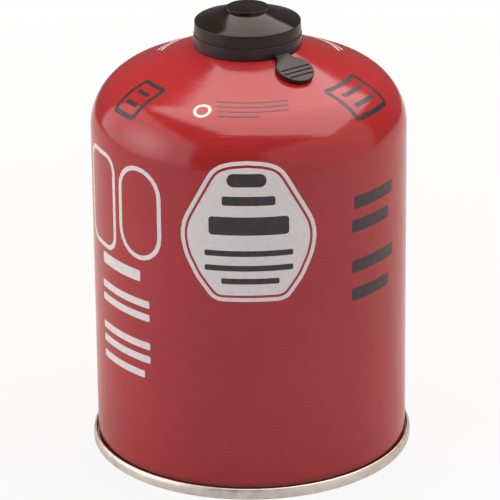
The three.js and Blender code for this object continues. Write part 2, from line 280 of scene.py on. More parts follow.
def turnPiece(name, outline, sides, sharpAbove=38, turn=360):  # outline in radius and height, millimetres
    piece = startEmpty(name)
    walkOutline([(r * mm, 0, z * mm) for r, z in outline])
    bpy.ops.mesh.select_all(action="SELECT")
    bpy.ops.mesh.spin(steps=sides, angle=math.radians(turn), center=(0, 0, 0), axis=(0, 0, 1))
    bpy.ops.mesh.select_all(action="SELECT")
    bpy.ops.mesh.remove_doubles(threshold=2e-6)
    finishMesh(sharpAbove, fillHoles=turn < 360)
    return piece


def screwPiece(piece, pitch, turns, steps):  # the section drawn so far, wound up along Z
    bpy.ops.object.mode_set(mode="OBJECT")
    bpy.ops.object.modifier_add(type="SCREW")
    screw = piece.modifiers[-1]
    screw.angle = 2 * math.pi
    screw.screw_offset = pitch * mm
    screw.iterations = turns
    screw.steps = screw.render_steps = steps
    screw.use_merge_vertices = False
    bpy.ops.object.modifier_apply(modifier=screw.name)


def arcPoints(r, z, radius, fromAngle, toAngle, steps):
    angles = [math.radians(fromAngle + (toAngle - fromAngle) * i / steps) for i in range(steps + 1)]
    return [(r + radius * math.cos(a), z + radius * math.sin(a)) for a in angles]


def roundCorner(before, corner, after, radius, steps=4):
    before, corner, after = Vector(before), Vector(corner), Vector(after)
    back = (before - corner).normalized()
    onward = (after - corner).normalized()
    half = math.acos(max(-1, min(1, back.dot(onward)))) / 2
    centre = corner + (back + onward).normalized() * (radius / math.sin(half))
    start = corner + back * (radius / math.tan(half)) - centre
    end = corner + onward * (radius / math.tan(half)) - centre
    first = math.atan2(start.y, start.x)
    swing = (math.atan2(end.y, end.x) - first + math.pi) % (2 * math.pi) - math.pi
    return arcPoints(centre.x, centre.y, radius, math.degrees(first), math.degrees(first + swing), steps)


def roundOutline(corners):  # corners as (r, z, rounding); the outline is closed
    points = []
    for i, (r, z, rounding) in enumerate(corners):
        if rounding:
            after = corners[(i + 1) % len(corners)]
            points += roundCorner(corners[i - 1][:2], (r, z), after[:2], rounding)
        else:
            points.append((r, z))
    return points + points[:1]


def sheetOutline(middle):  # middle as (r, z, thickness): the line moved half a thickness to each side
    one, other = [], []
    for i, (r, z, thickness) in enumerate(middle):
        p = Vector((r, z))
        before = Vector(middle[max(i - 1, 0)][:2])
        after = Vector(middle[min(i + 1, len(middle) - 1)][:2])
        arriving = (p - before if i else after - p).normalized()
        leaving = (after - p if i < len(middle) - 1 else p - before).normalized()
        across = Vector((-arriving.y, arriving.x))
        mitre = (across + Vector((-leaving.y, leaving.x))).normalized()
        mitre *= thickness / 2 / mitre.dot(across)
        one.append(tuple(p + mitre))
        other.append(tuple(p - mitre))
    return one + other[::-1] + one[:1]


def joinPieces(name, pieces):
    pickPiece(pieces[0])
    for piece in pieces[1:]:
        piece.select_set(True)
    bpy.ops.object.join()
    whole = bpy.context.object
    whole.name = name
    return whole


# finishes
def newFinish(name, colour, roughness, metallic=0.0):
    material = bpy.data.materials.new(name)
    material.use_nodes = True
    shader = material.node_tree.nodes["Principled BSDF"]
    shader.inputs["Metallic"].default_value = metallic
    shader.inputs["Base Color"].default_value = (*colour, 1)
    shader.inputs["Roughness"].default_value = roughness
    return material, material.node_tree.nodes, material.node_tree.links, shader


def placeOf(nodes):
    return nodes.new("ShaderNodeTexCoord").outputs["Object"]


def splitPlace(nodes, links):
    split = nodes.new("ShaderNodeSeparateXYZ")
    links.new(placeOf(nodes), split.inputs[0])
    return split.outputs


def mathOf(nodes, links, operation, one, other):  # each one a socket or a plain number
    step = nodes.new("ShaderNodeMath")
    step.operation = operation
    for socket, value in zip(step.inputs, (one, other)):
        if isinstance(value, (int, float)):
            socket.default_value = value
        else:
            links.new(value, socket)
    return step.outputs[0]


def spotNoise(nodes, links, scale, detail=4.0, stretch=(1, 1, 1)):
    mapping = nodes.new("ShaderNodeMapping")
    mapping.inputs["Scale"].default_value = stretch
    noise = nodes.new("ShaderNodeTexNoise")
    noise.inputs["Scale"].default_value = scale
    noise.inputs["Detail"].default_value = detail
    links.new(placeOf(nodes), mapping.inputs["Vector"])
    links.new(mapping.outputs["Vector"], noise.inputs["Vector"])
    return noise.outputs["Fac"]


ringStretch = 0.10  # how slowly ring noise changes on its way round


def ringNoise(nodes, links, scale, detail=3.0):  # noise in rings round the axis, as drawing and turning leave
    place = splitPlace(nodes, links)
    flat = nodes.new("ShaderNodeCombineXYZ")
    radius = nodes.new("ShaderNodeVectorMath")
    radius.operation = "LENGTH"
    rings = nodes.new("ShaderNodeCombineXYZ")
    noise = nodes.new("ShaderNodeTexNoise")
    noise.inputs["Scale"].default_value = scale
    noise.inputs["Detail"].default_value = detail
    links.new(place["X"], flat.inputs["X"])
    links.new(place["Y"], flat.inputs["Y"])
    links.new(flat.outputs[0], radius.inputs[0])
    links.new(radius.outputs["Value"], rings.inputs["X"])
    links.new(place["Z"], rings.inputs["Y"])
    links.new(mathOf(nodes, links, "MULTIPLY", place["X"], ringStretch), rings.inputs["Z"])
    links.new(rings.outputs[0], noise.inputs["Vector"])
    return noise.outputs["Fac"]


def rampOf(nodes, links, source, stops):  # stops as (place, colour)
    ramp = nodes.new("ShaderNodeValToRGB")
    for edge, (place, colour) in zip(ramp.color_ramp.elements, stops):
        edge.position = place
        edge.color = (*colour, 1)
    links.new(source, ramp.inputs["Fac"])
    return ramp.outputs["Color"]


def rangeOf(nodes, links, source, spanFrom, spanTo):
    span = nodes.new("ShaderNodeMapRange")
    for socket, value in zip(("From Min", "From Max", "To Min", "To Max"), (*spanFrom, *spanTo)):
        span.inputs[socket].default_value = value
    links.new(source, span.inputs["Value"])
    return span.outputs["Result"]


def addBump(nodes, links, shader, heights):  # heights as (source, depth in millimetres, strength)
    last = None
    for source, depth, strength in heights:
        bump = nodes.new("ShaderNodeBump")
        bump.inputs["Distance"].default_value = depth * mm
        bump.inputs["Strength"].default_value = strength
        links.new(source, bump.inputs["Height"])
        if last:
            links.new(last, bump.inputs["Normal"])
        last = bump.outputs["Normal"]
    links.new(last, shader.inputs["Normal"])


def mottle(nodes, links, shader, source, stops, roughness):  # colour and gloss that follow one noise
    links.new(rampOf(nodes, links, source, stops), shader.inputs["Base Color"])
    links.new(rangeOf(nodes, links, source, (0.3, 0.7), roughness), shader.inputs["Roughness"])


def blendOf(nodes, links, share, one, other, kind="MIX"):
    blend = nodes.new("ShaderNodeMix")
    blend.data_type = "RGBA"
    blend.blend_type = kind
    if isinstance(share, (int, float)):
        blend.inputs["Factor"].default_value = share
    else:
        links.new(share, blend.inputs["Factor"])
    links.new(one, blend.inputs[6])
    links.new(other, blend.inputs[7])
    return blend.outputs[2]


lacquer = {
    "colour": (0.410, 0.0215, 0.0230),
    "deepColour": (0.365, 0.0175, 0.0190),
    "clouds": 22,  # noise scales are per metre
    "drawLines": 1500,  # fine lines left by deep drawing
    "lineBump": (0.10, 0.30),  # depth in millimetres, strength
    "roughness": (0.085, 0.175),
    "rubs": 70,
    "streaks": 420,  # broader streaks round the dome
    "peel": 900,
    "peelBump": (0.02, 0.03),
    "seamShadeDepth": 0.42,  # painted shade and painted reflection: how dark the paint is made where it meets the seam
    "seamShadeHeights": (0.0040, 0.0058),
}


def makeRedLacquer():
    material, nodes, links, shader = newFinish("redLacquer", lacquer["colour"], 0.2)
    lines = ringNoise(nodes, links, lacquer["drawLines"], 5)
    shade = mathOf(nodes, links, "ADD", spotNoise(nodes, links, lacquer["clouds"], 3), lines)
    cover = rangeOf(nodes, links, shade, (0.75, 1.2), (0, 1))
    paint = rampOf(nodes, links, cover, [(0.0, lacquer["deepColour"]), (1.0, lacquer["colour"])])
    # painted shade and painted reflection: the paint is made darker towards the seam at the bottom of the wall
    height = splitPlace(nodes, links)["Z"]
    paintedSeamShade = rangeOf(nodes, links, height, lacquer["seamShadeHeights"], (lacquer["seamShadeDepth"], 1))
    links.new(blendOf(nodes, links, 1, paint, paintedSeamShade, "MULTIPLY"), shader.inputs["Base Color"])
    rubs = spotNoise(nodes, links, lacquer["rubs"], 6, (1, 1, 0.35))
    worn = mathOf(nodes, links, "ADD", rubs, ringNoise(nodes, links, lacquer["streaks"], 4))
    links.new(rangeOf(nodes, links, worn, (0.72, 1.25), lacquer["roughness"]), shader.inputs["Roughness"])
    peel = spotNoise(nodes, links, lacquer["peel"], 2)
    addBump(nodes, links, shader, [(lines, *lacquer["lineBump"]), (peel, *lacquer["peelBump"])])
    return material


tinplate = {
    "colour": (0.88, 0.815, 0.715),
    "dullColour": (0.74, 0.675, 0.59),
    "roughness": (0.38, 0.50),
    "clouds": 260,
    "lines": 2600,
    "lineBump": (0.02, 0.10),
    "dents": 500,
    "dentBump": (0.02, 0.03),
}


def makeTinplate():
    t = tinplate
    material, nodes, links, shader = newFinish("tinplate", t["colour"], 0.3, 1.0)
    cloud = spotNoise(nodes, links, t["clouds"], 6)
    mottle(nodes, links, shader, cloud, [(0.35, t["dullColour"]), (0.6, t["colour"])], t["roughness"])
    lines = ringNoise(nodes, links, t["lines"], 5)
    dents = spotNoise(nodes, links, t["dents"], 3)
    addBump(nodes, links, shader, [(lines, *t["lineBump"]), (dents, *t["dentBump"])])
    return material


blackMoulding = {
    # painted light and shade: the cone, which faces the overhead light, is given a darker colour than the side of the
    # same plastic
    "coneShadedColour": (0.0110, 0.0068, 0.0052),
    "sideColour": (0.030, 0.0215, 0.0175),
    "tabColour": (0.017, 0.0122, 0.0098),
    "coneRoughness": (0.09, 0.13),
    "sideRoughness": (0.26, 0.36),
    "coneShine": 0.30,
    "tabShine": 0.40,
    "shineTint": (1.0, 0.83, 0.81, 1),
    "dust": 160,
    "dustColour": (0.9, 1.35),  # times the colour, from clean to dusty
    "coneDustColour": (1, 1.6),
    "grain": 300,
    "flow": 700,
    "flowBump": (0.03, 0.03),
    "pores": 2200,
    "poreBump": (0.008, 0.05),
}


def makeBlackMoulding(name, shine, colour, polishAndShadeAbove):  # polished above a height, satin below it; above it the colour is also darker, as painted shade
    b = blackMoulding
    material, nodes, links, shader = newFinish(name, colour, 0.3)
    shader.inputs["Specular IOR Level"].default_value = shine
    shader.inputs["Specular Tint"].default_value = b["shineTint"]
    height = splitPlace(nodes, links)["Z"]
    above = rangeOf(nodes, links, height, (polishAndShadeAbove - 0.1 * mm, polishAndShadeAbove), (0, 1))
    dust = spotNoise(nodes, links, b["dust"], 8)
    dustAndShade = []
    # dust on the side's colour below, and on the cone's darker colour above, which is painted shade
    for base, (clean, dull) in ((colour, b["dustColour"]), (b["coneShadedColour"], b["coneDustColour"])):
        dustAndShade.append(rampOf(nodes, links, dust, [(0.42, [c * clean for c in base]), (0.72, [c * dull for c in base])]))
    links.new(blendOf(nodes, links, above, *dustAndShade), shader.inputs["Base Color"])
    grain = spotNoise(nodes, links, b["grain"], 5)
    polish = nodes.new("ShaderNodeMix")
    links.new(above, polish.inputs["Factor"])
    links.new(rangeOf(nodes, links, grain, (0.3, 0.7), b["sideRoughness"]), polish.inputs[2])
    links.new(rangeOf(nodes, links, grain, (0.3, 0.7), b["coneRoughness"]), polish.inputs[3])
    links.new(polish.outputs[0], shader.inputs["Roughness"])
    flow = ringNoise(nodes, links, b["flow"], 2)
    pores = spotNoise(nodes, links, b["pores"], 2)
    addBump(nodes, links, shader, [(flow, *b["flowBump"]), (pores, *b["poreBump"])])
    return material


rubber = {
    "colour": (0.045, 0.044, 0.042),
    "deepColour": (0.016, 0.016, 0.017),
    "roughness": (0.55, 0.8),
    "bloom": 700,
    "pores": 3000,
    "poreBump": (0.03, 0.2),
}


def makeRubber():
    material, nodes, links, shader = newFinish("rubber", (0.02, 0.02, 0.021), 0.65)
    bloom = spotNoise(nodes, links, rubber["bloom"], 5)
    stops = [(0.3, rubber["deepColour"]), (0.75, rubber["colour"])]
    mottle(nodes, links, shader, bloom, stops, rubber["roughness"])
    addBump(nodes, links, shader, [(spotNoise(nodes, links, rubber["pores"], 3), *rubber["poreBump"])])
    return material


paleMoulding = {
    "colour": (0.75, 0.73, 0.67),
    "shadeColour": (0.66, 0.64, 0.58),
    "roughness": (0.32, 0.46),
    "glow": 0.05,
    "flow": 900,
    "pores": 2600,
    "poreBump": (0.015, 0.15),
}


def makePaleMoulding():
    p = paleMoulding
    material, nodes, links, shader = newFinish("paleMoulding", (0.72, 0.70, 0.64), 0.38)
    shader.inputs["Subsurface Weight"].default_value = p["glow"]
    flow = ringNoise(nodes, links, p["flow"], 3)
    mottle(nodes, links, shader, flow, [(0.3, p["shadeColour"]), (0.7, p["colour"])], p["roughness"])
    addBump(nodes, links, shader, [(spotNoise(nodes, links, p["pores"], 2), *p["poreBump"])])
    return material


springSteel = {
    "colour": (0.60, 0.59, 0.57),
    "dullColour": (0.44, 0.43, 0.41),
    "roughness": (0.2, 0.38),
    "drawn": 1500,
    "drawnBump": (0.01, 0.15),
}


def makeSpringSteel():
    s = springSteel
    material, nodes, links, shader = newFinish("springSteel", (0.56, 0.55, 0.53), 0.28, 1.0)
    drawn = spotNoise(nodes, links, s["drawn"], 5)
    mottle(nodes, links, shader, drawn, [(0.35, s["dullColour"]), (0.65, s["colour"])], s["roughness"])
    addBump(nodes, links, shader, [(drawn, *s["drawnBump"])])
    return material


whiteInk = {"colour": (0.765, 0.705, 0.66), "thinColour": (0.745, 0.685, 0.64)}
darkInk = {"colour": (0.030, 0.022, 0.021), "thinColour": (0.055, 0.030, 0.028)}
inkSurface = {
    "cover": 420,
    "roughness": (0.24, 0.36),
    "lineBump": (0.02, 0.10),
    "grain": 1400,
    "grainBump": (0.01, 0.04),
}


def makeInk(name, ink):
    s = inkSurface
    material, nodes, links, shader = newFinish(name, ink["colour"], 0.3)
    cover = spotNoise(nodes, links, s["cover"], 6)
    mottle(nodes, links, shader, cover, [(0.30, ink["thinColour"]), (0.48, ink["colour"])], s["roughness"])
    lines = ringNoise(nodes, links, lacquer["drawLines"], 4)
    grain = spotNoise(nodes, links, s["grain"], 2)
    addBump(nodes, links, shader, [(lines, *s["lineBump"]), (grain, *s["grainBump"])])
    return material


# the can and its dome
canShape = {
    "sides": 192,
    "wallRadius": 53.3,
    "wallRings": (4.2, 30, 58, 86),
    "shoulder": 114.6,  # top of the straight wall
    "knuckle": 20.1,
    "slope": 22.5,
    "domeRings": (34, 27, 20),
    "hookBottom": 1.2,
    "hookInner": 52.7,
    "neckBore": 12.7,
    "neckOuter": 13.4,
    "neckFillet": 1.0,
    "bead": 1.25,
    "beadRise": 1.97,
    "underBead": 1.4,  # the room below the bead that the cup is crimped into
    "crimpRoom": 1.2,
    "moatDepth": 4.4,  # from the bead to the floor of the cup
    "bossHeight": 10.0,  # from there to the top of the boss
    "bayFloor": 2.3,  # under the floor of the cup
    "wellFloor": 7.7,  # the same, round the housing
    "wellRadius": 6.6,
}
slope = math.radians(canShape["slope"])
kneeCentre = canShape["wallRadius"] - canShape["knuckle"]
coneStart = (
    kneeCentre + canShape["knuckle"] * math.sin(slope),
    canShape["shoulder"] + canShape["knuckle"] * math.cos(slope),
)


def domeHeight(r):
    return coneStart[1] + (coneStart[0] - r) * math.tan(slope)


beadCentre = canShape["neckBore"] + canShape["bead"]
beadHeight = domeHeight(beadCentre) + canShape["beadRise"]
moatFloor = beadHeight - canShape["moatDepth"]
bossTop = moatFloor + canShape["bossHeight"]
stackTop = bossTop - 1.6  # top of the housing and of the stem's head, under the sheet and the seal

endShape = {
    "sides": 192,
    "chuck": 51.9,
    "sheet": 0.5,
    "crown": 13.0,
    "bendRadius": 3.0,
    "bendHeight": 2.8,
    "outer": 55.0,
    "seamTop": 3.85,
    "seamGap": 0.5,  # between the wall and the rolled seam
    "seamRound": 0.72,  # the rolled top, how far in and how far down
    "seamDrop": 1.9,
    "seamLip": 0.45,  # its inner rounding, towards the wall
    "foot": 0.7,
    "footBridge": 0.9,
    "gap": 0.3,
}


def crownLine(offset):  # the inward dome of the base and the bend into its wall
    bend = endShape["bendRadius"]
    bendR = endShape["chuck"] - bend
    rise = endShape["crown"] - endShape["bendHeight"]
    crownRadius = (bendR**2 + rise**2 - bend**2) / (2 * (rise - bend))
    crownAngle = 90 - math.degrees(math.asin(bendR / (crownRadius - bend)))
    crown = arcPoints(0, endShape["crown"] - crownRadius, crownRadius + offset, 90, crownAngle, 14)
    crown[0] = (0, crown[0][1])
    return crown + arcPoints(bendR, endShape["bendHeight"], bend + offset, crownAngle, 0, 12)[1:]


def buildCan():
    c = canShape
    filletR = c["neckOuter"] + c["neckFillet"]
    filletZ = domeHeight(filletR) + c["neckFillet"] / math.cos(slope)
    beadFrom = -math.degrees(math.acos((c["neckOuter"] - beadCentre) / c["bead"]))
    crimpTop = beadHeight - c["underBead"]
    crimpR = c["neckBore"] + c["crimpRoom"]
    bayFloor = moatFloor - c["bayFloor"]
    wellFloor = moatFloor - c["wellFloor"]
    outline = crownLine(endShape["sheet"] + endShape["gap"])
    outline += [(c["hookInner"], c["hookBottom"]), (c["wallRadius"], c["hookBottom"])]
    outline += [(c["wallRadius"], z) for z in c["wallRings"]]
    outline += arcPoints(kneeCentre, c["shoulder"], c["knuckle"], 0, 90 - c["slope"], 30)
    outline += [(r, domeHeight(r)) for r in c["domeRings"]]
    outline += arcPoints(filletR, filletZ, c["neckFillet"], -90 - c["slope"], -180, 8)
    outline += arcPoints(beadCentre, beadHeight, c["bead"], beadFrom, 180, 22)
    outline += [(c["neckBore"], crimpTop), (crimpR, crimpTop - c["crimpRoom"]), (crimpR, bayFloor)]
    outline += [(c["wellRadius"], bayFloor), (c["wellRadius"], wellFloor), (0, wellFloor)]
    can = turnPiece("drawnCan", outline, c["sides"])
    can.data.materials.append(makeRedLacquer())
    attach(can, "can")
    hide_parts("can_body")


def buildBottom():
    e = endShape
    outline = crownLine(0)
    outline += [(e["chuck"], e["foot"])]
    outline += arcPoints(e["chuck"] + e["foot"], e["foot"], e["foot"], 180, 270, 8)[1:]
    outline += arcPoints(e["outer"] - e["foot"], e["foot"], e["foot"], -90, 0, 8)
    stretch = e["seamDrop"] / e["seamRound"]
    rolled = arcPoints(e["outer"] - e["seamRound"], 0, e["seamRound"], 0, 90, 14)
    outline += [(r, e["seamTop"] - e["seamDrop"] + z * stretch) for r, z in rolled]
    insideR = canShape["wallRadius"] + e["seamGap"]
    outline += arcPoints(insideR + e["seamLip"], e["seamTop"] - e["seamLip"], e["seamLip"], 90, 180, 6)
    outline += [(insideR, e["footBridge"]), (canShape["hookInner"] - e["gap"], e["footBridge"])]
    outline += crownLine(e["sheet"])[::-1]
    end = turnPiece("rolledBase", outline, e["sides"])
    end.data.materials.append(tinFinish)
    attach(end, "can")
    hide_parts("bottom_end")


# valve cup with its screw thread, and the valve's parts
cupShape = {
    "sides": 128,
    "sheet": 0.4,
    "curl": 2.2,
    "lipAngle": -40,
    "crimpDrop": 2.5,  # from the bead to the crimp
    "bulge": 1.3,
    "moatBend": 1.1,
    "bossCore": 5.10,
    "bossSheet": 0.2,  # thinner under the thread
    "bossBend": 0.6,
    "bossHole": 2.3,
}
threadShape = {
    "root": 0.12,  # how far the thread is sunk into the boss
    "flank": [(-0.12, -0.38), (0, -0.31), (0.42, -0.06), (0.45, -0.03)],  # out from the boss and up, to its crest
    "pitch": 0.907,  # 28 turns to the inch
    "turns": 8,
    "start": 2.1,  # first turn, over the floor of the cup
    "steps": 72,
    "runOut": 0.45,  # part of a turn in which it fades at each end
    "leastHeight": 0.15,  # what is left of it there
}


def buildValveCup():
    c = cupShape
    sheet, thin = c["sheet"], c["bossSheet"]
    wallR = beadCentre - c["curl"]
    crimp = beadHeight - c["crimpDrop"]
    bossR = c["bossCore"] - thin / 2
    bulge = (wallR + c["bulge"], crimp)
    wallFoot = (wallR + sheet, moatFloor)
    bossFoot = (bossR, moatFloor)
    shoulder = (bossR, bossTop - sheet / 2)
    holeEdge = (c["bossHole"], bossTop - sheet / 2)
    over = (wallR, crimp + c["bulge"])
    line = arcPoints(beadCentre, beadHeight, c["curl"], c["lipAngle"], 180, 30) + [over]
    line += roundCorner(over, bulge, wallFoot, c["bulge"] / 3, 8)
    line += roundCorner(bulge, wallFoot, bossFoot, c["moatBend"] / 2, 6)
    line += roundCorner(wallFoot, bossFoot, shoulder, c["moatBend"], 10)[:-1]
    middle = [(r, z, sheet) for r, z in line]
    middle += [(bossR, moatFloor + c["moatBend"] + 0.2, thin), (bossR, bossTop - 1.3, thin)]
    top = roundCorner(bossFoot, shoulder, holeEdge, c["bossBend"], 8)
    middle += [(r, z, thin + (sheet - thin) * i / 8) for i, (r, z) in enumerate(top)]
    middle += [(*holeEdge, sheet)]
    cup = turnPiece("valveCup", sheetOutline(middle), c["sides"])
    whole = joinPieces("valveCup", [cup, buildThread()])
    whole.data.materials.append(tinFinish)
    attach(whole, "can")
    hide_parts("valve_cup")


def buildThread():
    t = threadShape
    inner = cupShape["bossCore"] - t["root"]
    start = moatFloor + t["start"]
    rib = [(cupShape["bossCore"] + out, z) for out, z in t["flank"]]
    rib += [(r, -z) for r, z in rib[::-1]]
    thread = startEmpty("screwThread")
    walkOutline([(r * mm, 0, (start + z) * mm) for r, z in rib + rib[:1]])
    bpy.ops.mesh.select_all(action="SELECT")
    bpy.ops.mesh.remove_doubles(threshold=2e-6)
    screwPiece(thread, t["pitch"], t["turns"], t["steps"])
    total = t["turns"] * t["steps"]
    fade = t["runOut"] * t["steps"]
    for vertex in thread.data.vertices:  # it runs out at both ends
        step = vertex.index // len(rib)
        left = min(1, step / fade, (total - step) / fade)
        r = math.hypot(vertex.co.x, vertex.co.y)
        height = t["leastHeight"] + (1 - t["leastHeight"]) * left
        keep = (inner * mm + (r - inner * mm) * height) / r
        vertex.co.x *= keep
        vertex.co.y *= keep
    bpy.ops.object.mode_set(mode="EDIT")
    finishMesh(35, fillHoles=True)
    return thread


sealShape = {"sides": 64, "hole": 1.75, "outer": 4.856, "height": 1.0, "gap": 0.1, "holeEdge": 0.08, "edge": 0.15}
stemShape = {
    "sides": 48,
    "headHeight": 2.5,
    "spigot": [(0, -2.3), (0.95, -2.3), (1.35, -1.9), (1.35, 0), (2.45, 0), (2.6, 0.15)],  # from under its head
    "nose": [  # from the top of its head
        (2.6, -0.15), (2.45, 0), (1.5, 0), (1.45, 0.05), (1.45, 0.45), (1.3, 0.6), (0.5, 0.6), (0.3, 0.42), (0, 0.36),
    ],
}


def buildSealAndStem():
    s = sealShape
    bottom = stackTop + s["gap"]
    top = bottom + s["height"]
    section = [(s["hole"], bottom, s["holeEdge"]), (s["outer"], bottom, s["edge"])]
    section += [(s["outer"], top, s["edge"]), (s["hole"], top, s["holeEdge"])]
    seal = turnPiece("valveSealRing", roundOutline(section), s["sides"])
    seal.data.materials.append(rubberFinish)
    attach(seal, "can")
    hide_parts("valve_seal")
    outline = [(r, stackTop - stemShape["headHeight"] + z) for r, z in stemShape["spigot"]]
    outline += [(r, stackTop + z) for r, z in stemShape["nose"]]
    stem = turnPiece("valvePin", outline, stemShape["sides"])
    stem.data.materials.append(paleFinish)
    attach(stem, "stem")
    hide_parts("valve_stem")


springShape = {
    "radius": 2.15,
    "wire": 0.5,
    "wireSides": 12,
    "turns": 7,
    "steps": 40,
    "endPitch": 0.15,  # the first and last turns close up to this share of the pitch
    "endTurn": 0.02,
    "foot": -5.3,  # its lower end, under the floor of the cup
    "gap": 0.1,  # to the stem's head
    "press": 1.5,  # how far the stem presses it
}


def buildValveSpring():
    s = springShape
    bottom = moatFloor + s["foot"]
    top = stackTop - stemShape["headHeight"] - s["gap"]
    low, high = bottom + s["wire"] / 2, top - s["wire"] / 2
    spring = startEmpty("valveCoil")
    bpy.ops.mesh.primitive_circle_add(
        vertices=s["wireSides"],
        radius=s["wire"] / 2 * mm,
        location=(s["radius"] * mm, 0, low * mm),
        rotation=(math.pi / 2, 0, 0),
    )
    screwPiece(spring, (high - low) / s["turns"], s["turns"], s["steps"])
    total = s["turns"] * s["steps"]
    for vertex in spring.data.vertices:
        along = vertex.index // s["wireSides"] / total
        easy = max(0, min(1, (along - s["endTurn"]) / (1 - 2 * s["endTurn"])))
        wanted = s["endPitch"] * along + (1 - s["endPitch"]) * easy * easy * (3 - 2 * easy)
        vertex.co.z += (high - low) * (wanted - along) * mm
    bpy.ops.object.mode_set(mode="EDIT")
    finishMesh(40, fillHoles=True)
    spring.data.materials.append(makeSpringSteel())
    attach(spring, "can")
    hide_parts("valve_spring")
    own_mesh(spring)


# cap
capShape = {
    "sides": 160,
    "wall": 1.1,
    "band": 18.14,
    "bandHeight": 4.11,
    "seatGap": 0.3,
    "skirt": 17.92,
    "rim": 17.79,
    "rimRound": 0.22,
    "skirtHeight": 4.27,
    "coneRise": 3.78,
    "button": 7.05,
    "buttonRise": 0.95,
    "buttonGroove": 0.3,
    "tearGroove": 0.22,
    "edge": 0.15,
}
lugShape = {"count": 6, "angle": 26, "aboveEdge": 0.35, "height": 1.7, "tip": 16.6, "sunk": 0.5, "tipRound": 0.15}
tabShape = {
    "azimuth": -90 + 37.1,
    "distance": 25.3,
    "radius": 6.5,
    "thickness": 1.35,
    "slope": 22,
    "gap": 0.27,
    "bevel": 0.28,
    "strapHalf": 2.8,
    "strapFillet": 2.5,
    "strapRoot": 17.55,
    "grooves": (-0.2, 1.7, 3.6),
    "grooveWidth": 0.66,
    "grooveDepth": 0.45,
    "grooveRound": 0.15,
    "endMargin": 0.7,
}
bandTop = domeHeight(capShape["band"]) + capShape["seatGap"] + capShape["bandHeight"]
rimTop = bandTop + capShape["skirtHeight"]


def buildCapShell():
    c = capShape
    edge = c["edge"]
    inner = c["band"] - c["wall"]
    coneTop = rimTop + c["coneRise"]
    buttonTop = coneTop + c["buttonRise"]
    tilt = math.atan2(c["coneRise"], c["rim"] - c["button"])
    groove = c["buttonGroove"]
    upperInner = c["rim"] - c["wall"]
    buttonInner = c["button"] - c["wall"]

    def under(r):  # the cone's inner face
        return rimTop + (c["rim"] - r) * math.tan(tilt) - c["wall"] / math.cos(tilt)

    corners = [
        (inner, domeHeight(inner) + c["seatGap"], edge),
        (c["band"], domeHeight(c["band"]) + c["seatGap"], edge),
        (c["band"], bandTop, edge),
        (c["skirt"] - c["tearGroove"], bandTop, 0.02),
        (c["skirt"], bandTop + c["tearGroove"], 0.03),
        (c["rim"], rimTop, c["rimRound"]),
        (c["button"] + groove, coneTop - groove * math.tan(tilt), 0.06),
        (c["button"], coneTop - groove, 0.04),
        (c["button"], buttonTop, edge),
        (0, buttonTop, 0),
        (0, under(buttonInner), 0),
        (buttonInner, under(buttonInner), 0.2),
        (upperInner, under(upperInner), 0.3),
        (upperInner, bandTop + c["wall"] / 2, 0.1),
        (inner, bandTop - c["wall"] / 2, 0.1),
    ]
    return turnPiece("capShell", roundOutline(corners), c["sides"])


def buildLugs():  # one lug, copied round the inside of the band
    g, c = lugShape, capShape
    inner = c["band"] - c["wall"]
    bottom = domeHeight(inner) + c["seatGap"] + g["aboveEdge"]
    corners = [
        (inner + g["sunk"], bottom, 0),
        (inner, bottom, 0),
        (g["tip"], bottom + g["height"] * 0.45, g["tipRound"]),
        (g["tip"], bottom + g["height"] * 0.60, g["tipRound"]),
        (inner, bottom + g["height"], 0),
        (inner + g["sunk"], bottom + g["height"], 0),
    ]
    lugs = [turnPiece("capLug", roundOutline(corners), 14, turn=g["angle"])]
    while len(lugs) < g["count"]:
        pickPiece(lugs[0])
        bpy.ops.object.duplicate()
        lugs.append(bpy.context.object)
    for i, lug in enumerate(lugs):
        lug.rotation_euler.z = math.radians(-g["angle"] / 2 + 360 / g["count"] * i)
        pickPiece(lug)
        bpy.ops.object.transform_apply(location=True, rotation=True, scale=True)
    return lugs


def tabOutline():  # a disc that narrows into its strap, towards -X
    t = tabShape
    rootX = (t["strapRoot"] - t["distance"]) / math.cos(math.radians(t["slope"]))
    reach = t["radius"] + t["strapFillet"]
    side = t["strapHalf"] + t["strapFillet"]
    filletX = -math.sqrt(reach**2 - side**2)
    meet = math.degrees(math.atan2(side, filletX))
    outline = [(rootX, -t["strapHalf"])]
    outline += arcPoints(filletX, -side, t["strapFillet"], 90, 180 - meet, 8)
    outline += arcPoints(0, 0, t["radius"], -meet, meet, 72)[1:-1]
    outline += arcPoints(filletX, side, t["strapFillet"], meet - 180, -90, 8)
    return outline + [(rootX, t["strapHalf"])], rootX


def cutGroove(tab, x):
    t = tabShape
    length = 2 * (math.sqrt(t["radius"] ** 2 - x**2) - t["endMargin"])
    deselectAll()
    bpy.ops.mesh.primitive_cube_add(size=1, location=(x * mm, 0, t["thickness"] * mm))
    cutter = bpy.context.object
    bpy.ops.object.mode_set(mode="EDIT")
    bpy.ops.transform.resize(value=(t["grooveWidth"] * mm, length * mm, 2 * t["grooveDepth"] * mm))
    bpy.ops.mesh.select_all(action="SELECT")
    bpy.ops.mesh.bevel(offset=t["grooveRound"] * mm, segments=3)
    pickPiece(tab)
    bpy.ops.object.modifier_add(type="BOOLEAN")
    cut = tab.modifiers[-1]
    cut.operation = "DIFFERENCE"
    cut.object = cutter
    bpy.ops.object.modifier_apply(modifier=cut.name)
    bpy.data.objects.remove(cutter)


